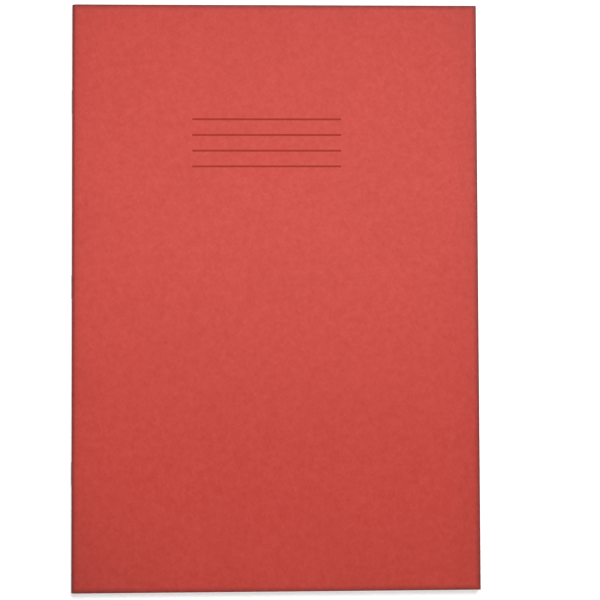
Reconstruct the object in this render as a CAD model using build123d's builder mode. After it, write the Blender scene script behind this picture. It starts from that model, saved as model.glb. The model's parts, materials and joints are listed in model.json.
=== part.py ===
"""A stapled exercise book: a folded card cover, nested folded sheets of writing paper and three wire staples.

The closed book lies on its back cover. X runs from the spine to the fore edge, Y from the tail to the
head of the page, and Z up through the thickness. The origin is under the middle of the whole book.
Every fold is parted at the plane half way up, so that each leaf and each half of the cover can turn.
They all turn about one line, the outermost line of the spine. The staples' crowns lie on that line,
bedded half their width into the cover.
"""

import os

from build123d import *

# Driving dimensions, in millimetres
book_height = 297.0  # along the spine
book_width = 206.0  # from the spine to the fore edge
card_thickness = 0.30  # cover
sheet_thickness = 0.09  # writing paper
sheet_count = 16  # folded sheets, with two leaves each
fold_clearance = 0.01  # air between one fold and the next
swell_length = 14.0  # the leaves close over the clinched wire within this distance of the fold
wire_diameter = 0.50
wire_clearance = 0.05  # air around the wire in the spine, in its slots and in the centre fold
crown_length = 12.5  # over the outside of a staple's legs
clinch_gap = 3.0  # between the two points of one staple
staple_spacing = 94.0  # from the middle of one staple to the middle of the next
staple_shift = 5.0  # of the middle staple, from half way up the spine towards the head

# The wire, and the room around it
wire_radius = wire_diameter / 2
bend_radius = wire_diameter
leg_offset = (crown_length - wire_diameter) / 2
room_radius = wire_radius + wire_clearance

# Through the thickness: folds are packed tight on the wire, and the leaves spread to the same height
fold_pitch = sheet_thickness + fold_clearance
cover_inner = room_radius + sheet_count * fold_pitch
half_thickness = cover_inner + card_thickness
mid_height = half_thickness
first_leaf_level = fold_clearance / 2
leaf_pitch = (cover_inner - first_leaf_level) / sheet_count

# Across the width, with half of each crown outside the spine
overall_width = book_width + wire_radius
spine_x = -overall_width / 2 + wire_radius
fold_x = spine_x + half_thickness
fore_edge_x = overall_width / 2

FRONT = 1
BACK = -1
staple_heights = {
    "upper_staple": staple_shift + staple_spacing,
    "middle_staple": staple_shift,
    "lower_staple": staple_shift - staple_spacing,
}

# A groove in the spine takes a crown
groove_length = crown_length + 2 * wire_clearance

# A slot takes a leg and the inside of its bends, which lean towards the middle of the staple
slot_run = bend_radius - wire_radius
slot_offset = leg_offset - slot_run / 2
slot_places = [
    (staple_y + side * slot_offset, mid_height) for staple_y in staple_heights.values() for side in (FRONT, BACK)
]


def folded_half(half, fold_inner, leaf_inner, thickness):
    """One half of a folded sheet or card: a quarter of the fold, the swell beside it and the flat leaf.

    fold_inner is the inside radius of the fold, and leaf_inner the height of the leaf over the middle plane.
    """
    fold_outer = fold_inner + thickness
    leaf_outer = leaf_inner + thickness
    swell_x = fold_x + swell_length
    fold_centre = (fold_x, mid_height)
    quarter_turn = -90 * half
    with BuildPart() as leaf:
        with BuildSketch(Plane.XZ):
            with BuildLine():
                outer_fold = CenterArc(fold_centre, fold_outer, 180, quarter_turn)
                inner_fold = CenterArc(fold_centre, fold_inner, 180, quarter_turn)
                Polyline(
                    outer_fold @ 1,
                    (swell_x, mid_height + half * leaf_outer),
                    (fore_edge_x, mid_height + half * leaf_outer),
                    (fore_edge_x, mid_height + half * leaf_inner),
                    (swell_x, mid_height + half * leaf_inner),
                    inner_fold @ 1,
                )
                Line(inner_fold @ 0, outer_fold @ 0)
            make_face()
        extrude(amount=book_height / 2, both=True)
        with BuildSketch(Plane.YZ.offset(spine_x)):
            with Locations(*slot_places):
                SlotCenterToCenter(slot_run, 2 * room_radius)
        extrude(amount=half_thickness, mode=Mode.SUBTRACT)
        for staple_y in staple_heights.values():
            with BuildSketch(Plane.XZ.offset(-staple_y)):
                with Locations((spine_x, mid_height)):
                    Circle(room_radius)
            extrude(amount=groove_length / 2, both=True, mode=Mode.SUBTRACT)
    return leaf.part


def bent_wire(staple_y):
    """One staple: the crown along the spine, two legs through the fold and two points clinched inside it."""
    far_y = staple_y + leg_offset
    near_y = staple_y - leg_offset
    with BuildPart() as wire:
        with BuildLine(Plane.XY.offset(mid_height)) as route:
            FilletPolyline(
                (fold_x, staple_y + clinch_gap / 2),
                (fold_x, far_y),
                (spine_x, far_y),
                (spine_x, near_y),
                (fold_x, near_y),
                (fold_x, staple_y - clinch_gap / 2),
                radius=bend_radius,
            )
        with BuildSketch(Plane(origin=route.line @ 0, z_dir=route.line % 0)):
            Circle(wire_radius)
        sweep()
    return wire.part


def write(piece, name):
    """Label a finished piece and write it under its own name."""
    piece.label = name
    export_step(piece, f"parts/{name}.step")


os.makedirs("parts", exist_ok=True)

write(folded_half(FRONT, cover_inner, cover_inner, card_thickness), "front_cover")
write(folded_half(BACK, cover_inner, cover_inner, card_thickness), "back_cover")

# Sheets are counted from the innermost one, and leaves from the front cover to the back cover
for sheet in range(sheet_count):
    fold_inner = room_radius + sheet * fold_pitch
    leaf_inner = first_leaf_level + sheet * leaf_pitch
    front_leaf = sheet_count - sheet
    back_leaf = sheet_count + sheet + 1
    write(folded_half(FRONT, fold_inner, leaf_inner, sheet_thickness), f"leaf_{front_leaf:02d}")
    write(folded_half(BACK, fold_inner, leaf_inner, sheet_thickness), f"leaf_{back_leaf:02d}")

for name, staple_y in staple_heights.items():
    write(bent_wire(staple_y), name)
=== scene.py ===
"""The looks of a stapled exercise book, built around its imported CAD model.

Each half of the cover, each leaf and each staple is a mesh of its own, and rides on its CAD body. Half of
a folded sheet is a thin closed solid: a quarter of the fold, the swell beside it and the flat leaf. A leaf
also has a thin lip from its fold to the turning line, so that an open spread is one surface. Profiles are
written in millimetres from the turning line: across the book, and up from the middle plane on the half's
own side. Along the book, y runs from the tail to the head, with 0 in the middle.
"""

import json
import math
import random

import bmesh
import bpy
from mathutils import Matrix, Vector


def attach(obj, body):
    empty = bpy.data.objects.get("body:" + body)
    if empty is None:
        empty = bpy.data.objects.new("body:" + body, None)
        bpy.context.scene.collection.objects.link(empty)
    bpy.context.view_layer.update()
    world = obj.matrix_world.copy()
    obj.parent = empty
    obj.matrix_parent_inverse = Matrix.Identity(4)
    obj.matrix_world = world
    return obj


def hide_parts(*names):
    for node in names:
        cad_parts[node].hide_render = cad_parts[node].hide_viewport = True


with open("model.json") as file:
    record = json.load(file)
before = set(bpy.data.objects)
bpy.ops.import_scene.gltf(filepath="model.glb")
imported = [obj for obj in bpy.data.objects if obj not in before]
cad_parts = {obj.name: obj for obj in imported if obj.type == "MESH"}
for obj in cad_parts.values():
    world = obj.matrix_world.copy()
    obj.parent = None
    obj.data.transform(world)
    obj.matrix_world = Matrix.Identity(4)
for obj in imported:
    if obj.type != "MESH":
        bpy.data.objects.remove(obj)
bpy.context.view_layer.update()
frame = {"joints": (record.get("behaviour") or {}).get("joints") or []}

MM = 0.001
FRONT = 1
BACK = -1
BOTH_WAYS = (-1, 1)

# Sizes of the CAD model, in millimetres
book_height = 297.0
book_width = 206.0
card_thickness = 0.30
sheet_thickness = 0.09
sheet_count = 16
fold_clearance = 0.01
swell_length = 14.0
wire_diameter = 0.50
wire_clearance = 0.05
crown_length = 12.5
clinch_gap = 3.0
staple_spacing = 94.0
staple_shift = 5.0

# What follows from them, as in the CAD model
wire_radius = wire_diameter / 2
bend_radius = wire_diameter
room_radius = wire_radius + wire_clearance
leg_offset = (crown_length - wire_diameter) / 2
fold_pitch = sheet_thickness + fold_clearance
cover_inner = room_radius + sheet_count * fold_pitch
half_thickness = cover_inner + card_thickness
first_leaf_level = fold_clearance / 2
leaf_pitch = (cover_inner - first_leaf_level) / sheet_count
staple_heights = {
    "upper_staple": staple_shift + staple_spacing,
    "middle_staple": staple_shift,
    "lower_staple": staple_shift - staple_spacing,
}
leg_heights = [staple_y + way * leg_offset for staple_y in staple_heights.values() for way in BOTH_WAYS]

# The turning line
hinge_x, _, hinge_z = (value / MM for value in frame["joints"][0]["pos_m"])

# Print on the front cover: four rules for a name
rule_left = 61.0  # from the spine
rule_length = 75.6
rule_right = rule_left + rule_length
rule_top = 58.6  # from the head to the middle of the first rule
rule_pitch = 8.0
rule_width = 1.0
rule_count = 4

# Print on the right-hand pages: feint lines across the whole leaf
feint_top = 27.0  # from the head to the middle of the first line
feint_pitch = 15.0
feint_width = 0.45
feint_count = 17

# The lips and folds, and how they pass the staples
lip_fan = math.radians(0.5)  # from one lip to the next about the turning line
lip_inside = 0.2  # where a lip's inner face lies within that angle
lip_middle = 0.5  # where its tip lies
lip_outside = 0.8  # where its outer face lies
lip_start = 0.005  # where a lip begins, beside the turning line
lip_over_leg = 0.28  # height of a lip over the middle of a staple's leg
centre_lip_gap = 0.03  # between the two lips of the centre sheet, which both pass over a leg
dent_run = 0.5  # the paper rises over a leg within this distance
notch_clearance = 0.015  # of the cover and the lips, around a crown
notch_radius = wire_radius + notch_clearance
notch_run = 0.3  # the card and the lips close again past a crown within this distance
pull_run = 9.0  # the folds open up around a staple within this distance
tight_fold = 0.06  # inside radius of the centre fold, away from the staples

# Cut edges
card_rounding = 0.07
paper_rounding = 0.015
trim_spread = 0.12  # the leaves differ by up to this much at their cut edges
trim_seed = 64

# The flats lie close, and the pile gives a little away from the fold, in shallow waves
leaf_gap = 0.008  # between the flats of two leaves
slack_depth = 0.04  # share of its height that the pile gives at most
slack_run = 70.0  # from the fold to where it gives in full
even_share = 0.55
long_wave_share = 0.25
long_wave_run = 47.0  # for each radian of the wave, and so with the next two runs
long_wave_start = 0.6  # in radians
short_wave_share = 0.2
short_wave_run = 23.0
slant_run = 61.0  # the short wave slants across the book

# Painted shade and wear: how far a surface has darkened, from 0 to 1
rim_depth = 2.8  # width of the cover's dark rim of wear and painted shade
edge_wear_and_shade = 0.8  # how dark the rim is along a cut edge: part wear, part painted shade of the rounded edge
painted_fold_shade = 1.0  # painted shade of the rounded fold, along the spine
border_depth = 20.0  # width of the painted shade towards the cover's edges
painted_side_shade = 0.09  # how dark that painted shade is along the fold and the fore edge
painted_end_shade = 0.04  # and along the head and the tail
corner_depth = 70.0  # painted shade at the corner at the tail of the spine reaches this far
painted_corner_shade = 0.13
crease_depth = 1.7  # width of the painted shade of the crease along the fold of a page
painted_crease_shade = 0.8
gutter_depth = 14.0  # width of the fainter painted shade beside it, towards the gutter
painted_gutter_shade = 0.2

# Columns of points across a mesh: shares of the fold and of the swell, then distances from the spine
fold_shares = [0, 0.12, 0.25, 0.4, 0.55, 0.7, 0.85, 1]
swell_shares = [0.12, 0.25, 0.37, 0.5, 0.63, 0.75, 0.88, 1]
flat_columns = [24, 36, 52, 72, 96, 122, 150, 178]

# Distances from the cover's edges at which it has a column or a row of points
border_steps = [0.5, 1.0, 1.7, rim_depth, 8.0, 14.0, border_depth]

# Rows of points along a mesh: beside the legs, past the crowns, and spread over the cover
dent_shares = [0, 0.33, 0.67, 1]
leg_rows = [
    leg_y + way * (wire_radius + share * dent_run)
    for leg_y in leg_heights
    for way in BOTH_WAYS
    for share in dent_shares
]
crown_runs = [0, notch_run / 2, notch_run, pull_run / 4, pull_run / 2, pull_run]
crown_rows = [
    staple_y + way * (crown_length / 2 + wire_clearance + run)
    for staple_y in staple_heights.values()
    for way in BOTH_WAYS
    for run in crown_runs
]
cover_rows = list(range(-130, 140, 20))
row_gap = 0.05  # rows closer together than this become one

# The wire's mesh
wire_sides = 18
bend_steps = 8
chisel_share = 0.12  # of a clinched end, where the wire narrows to its point
chisel_height = 0.2  # of the wire's own height, at the point

sharp_angle = math.radians(40)  # edges are smooth below this angle


def smooth(t):
    """0 below 0, 1 above 1 and an even ease between them."""
    t = min(max(t, 0.0), 1.0)
    return t * t * (3 - 2 * t)


def near(distance, depth):
    """1 at a place, easing to 0 at this depth from it."""
    return 1 - smooth(distance / depth)


def over_staple(y, run):
    """1 along a staple's crown, easing to 0 within this run past its ends."""
    from_middle = min(abs(y - staple_y) for staple_y in staple_heights.values())
    return near(from_middle - crown_length / 2 - wire_clearance, run)


def over_leg(y):
    """1 along a staple's leg, easing to 0 beside it."""
    from_leg = min(abs(y - leg_y) for leg_y in leg_heights)
    return near(from_leg - wire_radius, dent_run)


def slack(across, y):
    """How much the pile gives here, as a share of the height over the middle plane: nothing at the fold."""
    long_wave = long_wave_share * math.sin(y / long_wave_run + long_wave_start)
    short_wave = short_wave_share * math.sin(y / short_wave_run - across / slant_run)
    wave = even_share + long_wave + short_wave
    return slack_depth * wave * smooth((across - half_thickness) / slack_run)


def spread(values):
    """The values in order, without those that nearly repeat the one before."""
    kept = []
    for value in sorted(values):
        if not kept or value - kept[-1] > row_gap:
            kept.append(value)
    return kept


def on_fold(radius, start_height, share):
    """A point of the fold, at this share of the way from its lower end to its top."""
    start = math.asin(start_height / radius)
    angle = start + share * (math.pi / 2 - start)
    return half_thickness - radius * math.cos(max(angle, 0)), radius * math.sin(angle)


def face_points(radius, start_height, level, columns):
    """One face of a folded half: its fold, the swell from there to the leaf's level, and the flat."""
    points = [on_fold(radius, start_height, share) for share in fold_shares]
    for share in swell_shares:
        height = radius + smooth(share) * (level - radius)
        points.append((half_thickness + share * swell_length, height))
    return points + [(across, level) for across in columns]


class Ruling:
    """Printed lines across the book, with the middle of the first one this far below the head."""

    def __init__(self, top, pitch, width, count):
        self.first_y = book_height / 2 - top
        self.pitch = pitch
        self.width = width
        self.count = count

    def edges(self):
        """Where the lines begin and end along the book."""
        lines = [self.first_y - number * self.pitch for number in range(self.count)]
        return [y + way * self.width / 2 for y in lines for way in BOTH_WAYS]

    def covers(self, y):
        """Whether there is a line here."""
        below_first = self.first_y - y
        number = round(below_first / self.pitch)
        return 0 <= number < self.count and abs(below_first - number * self.pitch) < self.width / 2


name_rules = Ruling(rule_top, rule_pitch, rule_width, rule_count)
feint_lines = Ruling(feint_top, feint_pitch, feint_width, feint_count)


class Leaf:
    """Half a sheet of writing paper. Sheets are counted from the innermost one."""

    rounding = paper_rounding

    def __init__(self, side, sheet, reach, half_height):
        self.side = side
        self.sheet = sheet
        self.reach = reach
        self.half_height = half_height

    def lip_slope(self, share):
        """Slope of the lip's line at this share of its angle."""
        return math.tan((self.sheet + share) * lip_fan)

    def lip_rise(self, y):
        """How far the lip is lifted here to pass over the staples' legs.

        The back half of the centre sheet passes over them too, under the front half. That is to the other
        side of the middle plane.
        """
        passes_under = self.side == BACK and self.sheet == 0
        return over_leg(y) * (centre_lip_gap - lip_over_leg if passes_under else lip_over_leg)

    def profile(self, y):
        """Pairs of an inner and an outer point, from the tip of the lip to the fore edge."""
        centre_fold = tight_fold + over_staple(y, pull_run) * (room_radius - tight_fold)
        inner_radius = centre_fold + self.sheet * (cover_inner - centre_fold) / sheet_count
        outer_radius = inner_radius + sheet_thickness
        inner_slope = self.lip_slope(lip_inside)
        outer_slope = self.lip_slope(lip_outside)
        rise = self.lip_rise(y)
        inner_start = rise + (half_thickness - inner_radius) * inner_slope
        outer_start = rise + (half_thickness - outer_radius) * outer_slope
        inner_level = first_leaf_level + self.sheet * leaf_pitch
        outer_level = inner_level + leaf_pitch - leaf_gap
        columns = flat_columns + [self.reach]
        inner = face_points(inner_radius, inner_start, inner_level, columns)
        outer = face_points(outer_radius, outer_start, outer_level, columns)
        start = lip_start + over_staple(y, notch_run) * (notch_radius - lip_start)
        tip = (start, rise + start * self.lip_slope(lip_middle))
        middle = start + (outer[0][0] - start) / 2
        lip = ((middle, rise + middle * inner_slope), (middle, rise + middle * outer_slope))
        return [(tip, tip), lip, *zip(inner, outer)]

    def shade_and_wear(self, across, y):
        """Painted shade on the page: a dark crease along the fold, and a fainter shade towards it."""
        return painted_crease_shade * near(across, crease_depth) + painted_gutter_shade * near(across, gutter_depth)

    def material_index(self, is_outer, across, y):
        """1 on a feint line of the right-hand page, and 0 elsewhere."""
        is_right_hand = is_outer == (self.side == FRONT)
        return int(is_right_hand and feint_lines.covers(y))

    def rows(self):
        """Where the mesh has rows of points along the book, apart from its ends."""
        return feint_lines.edges() + leg_rows + crown_rows


class CoverHalf:
    """Half of the card cover."""

    rounding = card_rounding
    reach = book_width
    half_height = book_height / 2

    def __init__(self, side):
        self.side = side

    def profile(self, y):
        """Pairs of an inner and an outer point, from the tip at the turning line to the fore edge."""
        notch = over_staple(y, notch_run) * notch_radius
        slope = math.tan((sheet_count + lip_middle) * lip_fan)
        inner_start = card_thickness * slope + over_leg(y) * lip_over_leg
        border = [self.reach - depth for depth in border_steps]
        columns = sorted(flat_columns + [rule_left, rule_right] + border + [self.reach])
        inner = face_points(cover_inner, inner_start, cover_inner, columns)
        outer = face_points(half_thickness, notch, half_thickness, columns)
        tip = Vector(inner[0]).lerp(Vector(outer[0]), 0.5)
        # Beside a crown the tip stays out of the wire
        tip *= max(1, notch / tip.length)
        return [(tuple(tip), tuple(tip)), *zip(inner, outer)]

    def shade_and_wear(self, across, y):
        """How dark the card is here: a rim along all edges, part wear and part painted shade, with painted
        shade along the fold, towards the edges and at one corner.
        """
        to_fore_edge = self.reach - across
        to_end = self.half_height - abs(y)
        to_corner = math.hypot(across, y + self.half_height)
        # Painted shade of the rounded fold, along the spine
        rim_at_fold = painted_fold_shade * near(across, rim_depth)
        # Part wear, part painted shade of the rounded cut edges
        rim_at_edges = edge_wear_and_shade * near(min(to_fore_edge, to_end), rim_depth)
        rim = max(rim_at_fold, rim_at_edges)
        # Painted shade towards the fold, the fore edge, the head and the tail, and at one corner
        sides = painted_side_shade * near(min(across, to_fore_edge), border_depth)
        ends = painted_end_shade * near(to_end, border_depth)
        return min(1, rim + sides + ends + painted_corner_shade * near(to_corner, corner_depth))

    def material_index(self, is_outer, across, y):
        """1 on a rule of the front cover, and 0 elsewhere."""
        is_front = is_outer and self.side == FRONT
        return int(is_front and rule_left < across < rule_right and name_rules.covers(y))

    def rows(self):
        """Where the mesh has rows of points along the book, apart from its ends."""
        border = [way * (self.half_height - depth) for depth in border_steps for way in BOTH_WAYS]
        return name_rules.edges() + border + leg_rows + crown_rows + cover_rows


class Draft:
    """The points and faces of one half's mesh, as they are laid down."""

    def __init__(self, half):
        self.half = half
        self.points = []
        self.shade_and_wear = []
        self.faces = []
        self.material_indices = []

    def point(self, across, height, y):
        """Add a point and give its number."""
        level = height * (1 - slack(across, y))
        self.points.append(((hinge_x + across) * MM, y * MM, (hinge_z + self.half.side * level) * MM))
        self.shade_and_wear.append(self.half.shade_and_wear(across, y))
        return len(self.points) - 1

    def face(self, corners, material_index=0):
        """Add a face. Beside the tip two of its corners can be the same point."""
        self.faces.append(list(dict.fromkeys(corners)))
        self.material_indices.append(material_index)


def lay_points(draft, rows):
    """The numbers of the points on the inner face, the outer face and the cut edge, by row and column.

    The cut edge runs half way between the two faces, and stands out from them by the half's rounding.
    """
    half = draft.half
    inner = []
    outer = []
    edge = []
    for y in rows:
        pairs = half.profile(y)
        at_end = y in (rows[0], rows[-1])
        face_y = y - math.copysign(half.rounding, y) if at_end else y
        tip = draft.point(*pairs[0][0], face_y)
        inner.append([tip])
        outer.append([tip])
        edge.append({0: tip})
        for column, (low, high) in enumerate(pairs[1:], 1):
            at_reach = column == len(pairs) - 1
            pull = half.rounding if at_reach else 0
            inner[-1].append(draft.point(low[0] - pull, low[1], face_y))
            outer[-1].append(draft.point(high[0] - pull, high[1], face_y))
            if at_end or at_reach:
                edge[-1][column] = draft.point((low[0] + high[0]) / 2, (low[1] + high[1]) / 2, y)
    return inner, outer, edge


def lay_faces(draft, rows, inner, outer, edge):
    """Close the solid: its two faces, and the cut edges at the fore edge, the tail and the head."""
    half = draft.half
    last_row = len(rows) - 1
    last_column = len(inner[0]) - 1
    for row in range(last_row):
        middle_y = (rows[row] + rows[row + 1]) / 2
        pairs = half.profile(middle_y)
        for column in range(last_column):
            for grid, is_outer in ((inner, False), (outer, True)):
                across = (pairs[column][is_outer][0] + pairs[column + 1][is_outer][0]) / 2
                corners = grid[row][column : column + 2] + grid[row + 1][column : column + 2][::-1]
                draft.face(corners, half.material_index(is_outer, across, middle_y))
        fore_edge = [edge[row][last_column], edge[row + 1][last_column]]
        for grid in (inner, outer):
            draft.face([grid[row][-1], *fore_edge, grid[row + 1][-1]])
    for row in (0, last_row):
        for column in range(last_column):
            end_edge = [edge[row][column], edge[row][column + 1]]
            for grid in (inner, outer):
                draft.face([grid[row][column], *end_edge, grid[row][column + 1]])


def half_mesh(name, half, materials):
    """A closed thin solid for one half of a sheet or card, with slightly rounded cut edges."""
    ends = [-half.half_height, half.half_height]
    inside = [y for y in half.rows() if abs(y) < half.half_height - 2 * half.rounding]
    rows = spread(inside + ends)
    draft = Draft(half)
    inner, outer, edge = lay_points(draft, rows)
    lay_faces(draft, rows, inner, outer, edge)
    mesh = bpy.data.meshes.new(name)
    mesh.from_pydata(draft.points, [], draft.faces)
    mesh.polygons.foreach_set("material_index", draft.material_indices)
    # Each point's painted shade and wear, read by the materials
    mesh.attributes.new("shade_and_wear", "FLOAT", "POINT").data.foreach_set("value", draft.shade_and_wear)
    return finished(name, mesh, materials)


def wire_route(staple_y):
    """The middle line of a bent staple from point to point, in millimetres across and along the book."""
    far_y = staple_y + leg_offset
    near_y = staple_y - leg_offset
    corners = [
        Vector((half_thickness, staple_y + clinch_gap / 2)),
        Vector((half_thickness, far_y)),
        Vector((0, far_y)),
        Vector((0, near_y)),
        Vector((half_thickness, near_y)),
        Vector((half_thickness, staple_y - clinch_gap / 2)),
    ]
    route = [corners[0], corners[0].lerp(corners[1], chisel_share)]
    for before, corner, after in zip(corners, corners[1:], corners[2:]):
        arrive = (corner - before).normalized()
        leave = (after - corner).normalized()
        centre = corner + (leave - arrive) * bend_radius
        for step in range(bend_steps + 1):
            angle = math.pi / 2 * step / bend_steps
            route.append(centre + (arrive * math.sin(angle) - leave * math.cos(angle)) * bend_radius)
    return route + [corners[-1].lerp(corners[-2], chisel_share), corners[-1]]


def wire_mesh(name, staple_y, materials):
    """A round wire along its route, cut to a chisel point at both ends."""
    route = wire_route(staple_y)
    last = len(route) - 1
    points = []
    for number, centre in enumerate(route):
        ahead = route[min(number + 1, last)] - route[max(number - 1, 0)]
        across = Vector((-ahead.y, ahead.x)).normalized()
        flatness = chisel_height if number in (0, last) else 1
        for side in range(wire_sides):
            angle = 2 * math.pi * side / wire_sides
            around = centre + across * (wire_radius * math.cos(angle))
            height = wire_radius * math.sin(angle) * flatness
            points.append(((hinge_x + around.x) * MM, around.y * MM, (hinge_z + height) * MM))
    faces = []
    for ring in range(last):
        for side in range(wire_sides):
            first = ring * wire_sides + side
            second = ring * wire_sides + (side + 1) % wire_sides
            faces.append((first, second, second + wire_sides, first + wire_sides))
    faces.append(range(wire_sides))
    faces.append(range(len(points) - wire_sides, len(points)))
    mesh = bpy.data.meshes.new(name)
    mesh.from_pydata(points, [], faces)
    return finished(name, mesh, materials)


def new_object(name, data):
    """A new object in the scene."""
    thing = bpy.data.objects.new(name, data)
    bpy.context.scene.collection.objects.link(thing)
    return thing


def finished(name, mesh, materials):
    """An object with outward faces, smooth but for its sharp edges."""
    shape = bmesh.new()
    shape.from_mesh(mesh)
    bmesh.ops.recalc_face_normals(shape, faces=shape.faces)
    for face in shape.faces:
        face.smooth = True
    for edge in shape.edges:
        edge.smooth = len(edge.link_faces) == 2 and edge.calc_face_angle() < sharp_angle
    shape.to_mesh(mesh)
    shape.free()
    for material in materials:
        mesh.materials.append(material)
    return new_object(name, mesh)


class Nodes:
    """The node tree of a material or a world, with short ways to add to it."""

    def __init__(self, owner):
        owner.use_nodes = True
        self.tree = owner.node_tree

    def new(self, kind, **properties):
        """A new node with these properties."""
        node = self.tree.nodes.new(kind)
        for name, value in properties.items():
            setattr(node, name, value)
        return node

    def feed(self, socket, value):
        """Give a socket the output of another node, a number or a colour."""
        if isinstance(value, bpy.types.NodeSocket):
            self.tree.links.new(value, socket)
        else:
            socket.default_value = (*value, 1) if isinstance(value, tuple) else value

    def seen_ray(self):
        """1 where the camera, a reflection or a view through glass looks, and 0 for light on its way."""
        path = self.new("ShaderNodeLightPath")
        total = path.outputs["Is Camera Ray"]
        for name in ("Is Glossy Ray", "Is Transmission Ray"):
            joined = self.new("ShaderNodeMath", operation="MAXIMUM")
            self.feed(joined.inputs[0], total)
            self.feed(joined.inputs[1], path.outputs[name])
            total = joined.outputs["Value"]
        return total


class Look(Nodes):
    """A material, with short ways to add what the materials here share."""

    def __init__(self, name):
        self.material = bpy.data.materials.new(name)
        super().__init__(self.material)
        self.shader = self.tree.nodes["Principled BSDF"]

    def set(self, **values):
        """Feed the shader's sockets, with underscores for the spaces in their names."""
        for name, value in values.items():
            self.feed(self.shader.inputs[name.replace("_", " ")], value)

    def noise(self, size, detail=2.0, roughness=0.5, stretch=(1, 1, 1), turn=0.0):
        """Noise from 0 to 1 with features of about this size in millimetres, turned by these degrees."""
        mapping = self.new("ShaderNodeMapping", vector_type="TEXTURE")
        mapping.inputs["Rotation"].default_value = (0, 0, math.radians(turn))
        mapping.inputs["Scale"].default_value = [size * MM * factor for factor in stretch]
        self.feed(mapping.inputs["Vector"], self.new("ShaderNodeTexCoord").outputs["Object"])
        texture = self.new("ShaderNodeTexNoise")
        self.feed(texture.inputs["Scale"], 1.0)
        self.feed(texture.inputs["Detail"], detail)
        self.feed(texture.inputs["Roughness"], roughness)
        self.feed(texture.inputs["Vector"], mapping.outputs["Vector"])
        return texture.outputs["Fac"]

    def ramp(self, source, *stops):
        """Greys or colours along a source, as stops of a position and a value."""
        node = self.new("ShaderNodeValToRGB")
        elements = node.color_ramp.elements
        while len(elements) < len(stops):
            elements.new(0.5)
        for element, (position, value) in zip(elements, stops):
            element.position = position
            element.color = (*value, 1) if isinstance(value, tuple) else (value, value, value, 1)
        self.feed(node.inputs["Fac"], source)
        return node.outputs["Color"]

    def mix(self, kind, factor, first, second):
        """Two colours mixed in one of Blender's ways."""
        node = self.new("ShaderNodeMix", data_type="RGBA", blend_type=kind)
        # Other sockets of this node have the same names, so those for colours go by number
        self.feed(node.inputs[0], factor)
        self.feed(node.inputs[6], first)
        self.feed(node.inputs[7], second)
        return node.outputs[2]

    def tinted(self, colour, *layers):
        """A colour multiplied by each layer in turn."""
        for layer in layers:
            colour = self.mix("MULTIPLY", 1.0, colour, layer)
        return colour

    def shaded_and_worn(self, clean, shade_and_soil):
        """A clean colour, darkened towards a darker colour by the mesh's value of painted shade and wear."""
        shade_and_wear = self.new("ShaderNodeAttribute", attribute_name="shade_and_wear").outputs["Fac"]
        return self.mix("MIX", shade_and_wear, clean, self.tinted(clean, shade_and_soil))

    def bump(self, height, depth, strength):
        """A relief of this depth in millimetres."""
        node = self.new("ShaderNodeBump")
        self.feed(node.inputs["Strength"], strength)
        self.feed(node.inputs["Distance"], depth * MM)
        self.feed(node.inputs["Height"], height)
        self.set(Normal=node.outputs["Normal"])


def card_colour(look, base):
    """Dyed card: cloudy over centimetres, mottled over millimetres, with short fibres both ways."""
    deep = (0.95, 0.835, 0.79)
    even = (1.0, 1.0, 1.0)
    pale = (1.045, 1.16, 1.205)
    cloud = look.ramp(look.noise(38), (0.3, 0.985), (0.7, 1.015))
    mottle = look.ramp(look.noise(3.2, roughness=0.65), (0.28, deep), (0.5, even), (0.72, pale))
    one_way = look.noise(0.35, detail=1, stretch=(1, 9, 1), turn=24)
    other_way = look.noise(0.35, detail=1, stretch=(1, 9, 1), turn=-52)
    deep_fibres = look.ramp(one_way, (0.34, deep), (0.46, even))
    pale_fibres = look.ramp(other_way, (0.56, even), (0.7, pale))
    return look.tinted(base, cloud, mottle, deep_fibres, pale_fibres)


def card_material(name, base):
    """Uncoated card with a fine tooth, darkened along its rim by wear and painted shade, and by painted
    shade towards its edges and at one corner.
    """
    look = Look(name)
    # The colour of the rim's wear and of the painted shade
    shade_and_soil = look.ramp(look.noise(3), (0.35, 0.22), (0.65, 0.36))
    fine_tooth = look.noise(0.5, detail=3, roughness=0.6)
    broad_tooth = look.noise(2.4, detail=3, roughness=0.6)
    look.set(
        Base_Color=look.shaded_and_worn(card_colour(look, base), shade_and_soil),
        Roughness=look.ramp(look.noise(1.2), (0.3, 0.52), (0.7, 0.64)),
        Specular_IOR_Level=0.42,
    )
    look.bump(look.mix("ADD", 0.5, fine_tooth, broad_tooth), depth=0.05, strength=0.3)
    return look.material


def paper_material(name, base):
    """Smooth writing paper, slightly cloudy, with a fine tooth and painted shade along its fold."""
    look = Look(name)
    cloud = look.ramp(look.noise(6, detail=3), (0.3, 0.985), (0.7, 1.01))
    one_way = look.noise(0.3, detail=1, stretch=(1, 7, 1), turn=12)
    fibres = look.ramp(one_way, (0.3, 0.975), (0.5, 1.0))
    # The colour of the painted shade of the crease and the gutter
    shade_and_soil = look.ramp(look.noise(4), (0.35, 0.66), (0.65, 0.78))
    look.set(
        Base_Color=look.shaded_and_worn(look.tinted(base, cloud, fibres), shade_and_soil),
        Roughness=look.ramp(look.noise(0.8), (0.3, 0.66), (0.7, 0.78)),
        Specular_IOR_Level=0.3,
    )
    look.bump(look.noise(0.25, detail=3, roughness=0.6), depth=0.02, strength=0.2)
    return look.material


def ink_material(name, base, paler):
    """Printed line: ink that takes unevenly to the fibres."""
    look = Look(name)
    look.set(
        Base_Color=look.ramp(look.noise(0.5, detail=3, roughness=0.6), (0.42, base), (0.75, paler)),
        Roughness=look.ramp(look.noise(1.0), (0.3, 0.6), (0.7, 0.72)),
        Specular_IOR_Level=0.3,
    )
    return look.material


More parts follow.
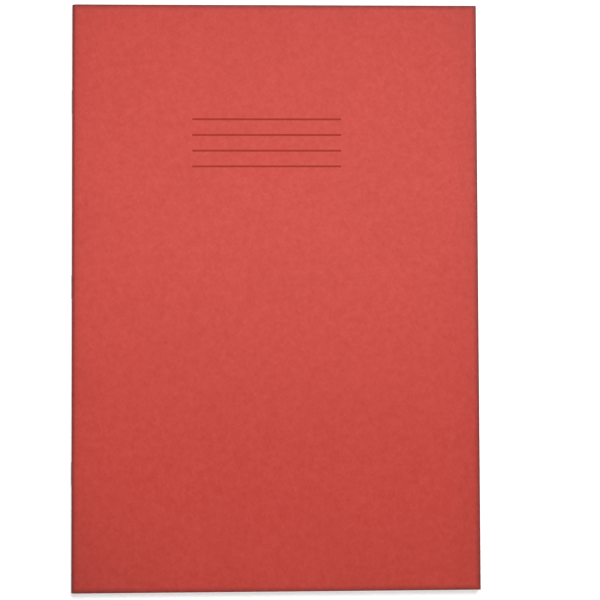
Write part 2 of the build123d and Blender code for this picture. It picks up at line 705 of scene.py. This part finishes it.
def wire_material(name, dull, bright):
    """Drawn galvanised wire: fine lines along the crown, dull patches."""
    look = Look(name)
    lines = look.noise(0.08, stretch=(1, 30, 1))
    look.set(
        Base_Color=look.ramp(look.noise(0.7, detail=3), (0.3, dull), (0.7, bright)),
        Metallic=1.0,
        Roughness=look.ramp(lines, (0.3, 0.28), (0.7, 0.46)),
    )
    look.bump(lines, depth=0.01, strength=0.3)
    return look.material


def stand_in(piece, body, node):
    """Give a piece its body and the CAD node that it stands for."""
    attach(piece, body)
    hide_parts(node)


def lay_floor(size, colour, lift):
    """A pale floor that looks white in the open and keeps the book's shadow."""
    half_size = size / 2
    corners = [(x * half_size, y * half_size, 0) for x, y in ((-1, -1), (1, -1), (1, 1), (-1, 1))]
    mesh = bpy.data.meshes.new("floor")
    mesh.from_pydata(corners, [], [range(len(corners))])
    look = Look("pale_floor")
    strength = look.new("ShaderNodeMath", operation="MULTIPLY")
    look.feed(strength.inputs[0], look.seen_ray())
    look.feed(strength.inputs[1], lift)
    look.set(
        Base_Color=colour,
        Roughness=1.0,
        Specular_IOR_Level=0.0,
        Emission_Color=(1, 1, 1),
        Emission_Strength=strength.outputs["Value"],
    )
    mesh.materials.append(look.material)
    new_object("floor", mesh)


def light_walls(horizon, zenith):
    """Pale walls all round and a darker ceiling, both white to look at."""
    world = bpy.data.worlds.new("studio")
    bpy.context.scene.world = world
    nodes = Nodes(world)
    direction = nodes.new("ShaderNodeSeparateXYZ")
    nodes.feed(direction.inputs["Vector"], nodes.new("ShaderNodeTexCoord").outputs["Generated"])
    walls = nodes.new("ShaderNodeMapRange")
    nodes.feed(walls.inputs["Value"], direction.outputs["Z"])
    nodes.feed(walls.inputs["To Min"], horizon)
    nodes.feed(walls.inputs["To Max"], zenith)
    strength = nodes.new("ShaderNodeMapRange")
    nodes.feed(strength.inputs["Value"], nodes.seen_ray())
    nodes.feed(strength.inputs["To Min"], walls.outputs["Result"])
    nodes.feed(strength.inputs["To Max"], 1.0)
    background = nodes.tree.nodes["Background"]
    nodes.feed(background.inputs["Color"], (1, 1, 1))
    nodes.feed(background.inputs["Strength"], strength.outputs["Result"])


def add_sun(name, from_direction, strength, softness):
    """A far light, as soft as a disc of these degrees."""
    sun_data = bpy.data.lights.new(name, "SUN")
    sun_data.energy = strength
    sun_data.angle = math.radians(softness)
    sun = new_object(name, sun_data)
    sun.rotation_euler = Vector(from_direction).to_track_quat("Z", "Y").to_euler()


def add_strip(name, location, size, watts):
    """A soft strip light that shines straight down."""
    lamp_data = bpy.data.lights.new(name, "AREA")
    lamp_data.shape = "RECTANGLE"
    lamp_data.size, lamp_data.size_y = size
    lamp_data.energy = watts
    lamp = new_object(name, lamp_data)
    lamp.location = location
    lamp.visible_camera = False


def set_camera(location, aim, lens, roll):
    """The photograph's view, almost straight down on the front cover."""
    camera_data = bpy.data.cameras.new("camera")
    camera_data.lens = lens
    camera_data.sensor_width = 36.0
    camera = new_object("camera", camera_data)
    camera.location = location
    ahead = (Vector(aim) - Vector(location)).normalized()
    right = ahead.cross(Vector((0, 1, 0))).normalized()
    camera.rotation_euler = Matrix((right, right.cross(ahead), -ahead)).transposed().to_euler()
    camera.rotation_euler.rotate_axis("Z", math.radians(roll))
    bpy.context.scene.camera = camera


# The materials
card = card_material("red_card", base=(0.568, 0.0500, 0.0344))
rule_ink = ink_material("rule_ink", base=(0.31, 0.016, 0.006), paler=(0.41, 0.026, 0.012))
paper = paper_material("page_paper", base=(0.905, 0.90, 0.88))
feint_ink = ink_material("feint_ink", base=(0.44, 0.45, 0.48), paler=(0.60, 0.60, 0.61))
wire = wire_material("staple_wire", dull=(0.24, 0.24, 0.24), bright=(0.39, 0.385, 0.37))

# The cover
for side, node in ((FRONT, "front_cover"), (BACK, "back_cover")):
    cover_half = half_mesh(f"{node}_card", CoverHalf(side), [card, rule_ink])
    stand_in(cover_half, node, node)

# The leaves, counted from the front cover to the back cover
draw = random.Random(trim_seed)
for number in range(1, 2 * sheet_count + 1):
    node = f"leaf_{number:02d}"
    side = FRONT if number <= sheet_count else BACK
    sheet = sheet_count - number if side == FRONT else number - sheet_count - 1
    reach = book_width - trim_spread * draw.random()
    half_height = book_height / 2 - trim_spread * draw.random()
    leaf = half_mesh(f"{node}_paper", Leaf(side, sheet, reach, half_height), [paper, feint_ink])
    stand_in(leaf, node, node)

# The staples, which stay with the back half of the centre sheet
centre_leaf = f"leaf_{sheet_count + 1:02d}"
for node, staple_y in staple_heights.items():
    staple = wire_mesh(f"{node}_wire", staple_y, [wire])
    stand_in(staple, centre_leaf, node)

# The studio, in metres
cover_top = 2 * half_thickness * MM
lay_floor(size=6.0, colour=(0.95, 0.93, 0.915), lift=0.42)
light_walls(horizon=0.45, zenith=0.03)
add_sun("head_sun", from_direction=(0.21, 0.62, 0.83), strength=1.637, softness=30)
add_sun("front_fill", from_direction=(-0.1, -1.0, 0.3), strength=0.7, softness=60)
add_strip("soft_strip", location=(0.01, 0.065, 0.25), size=(0.42, 0.15), watts=0.336)
set_camera(
    location=(-0.0037, -0.0204, cover_top + 0.6),
    aim=(0.01244, -0.002, cover_top),
    lens=71.2,
    roll=-0.224,
)
bpy.context.scene.view_settings.view_transform = "Standard"
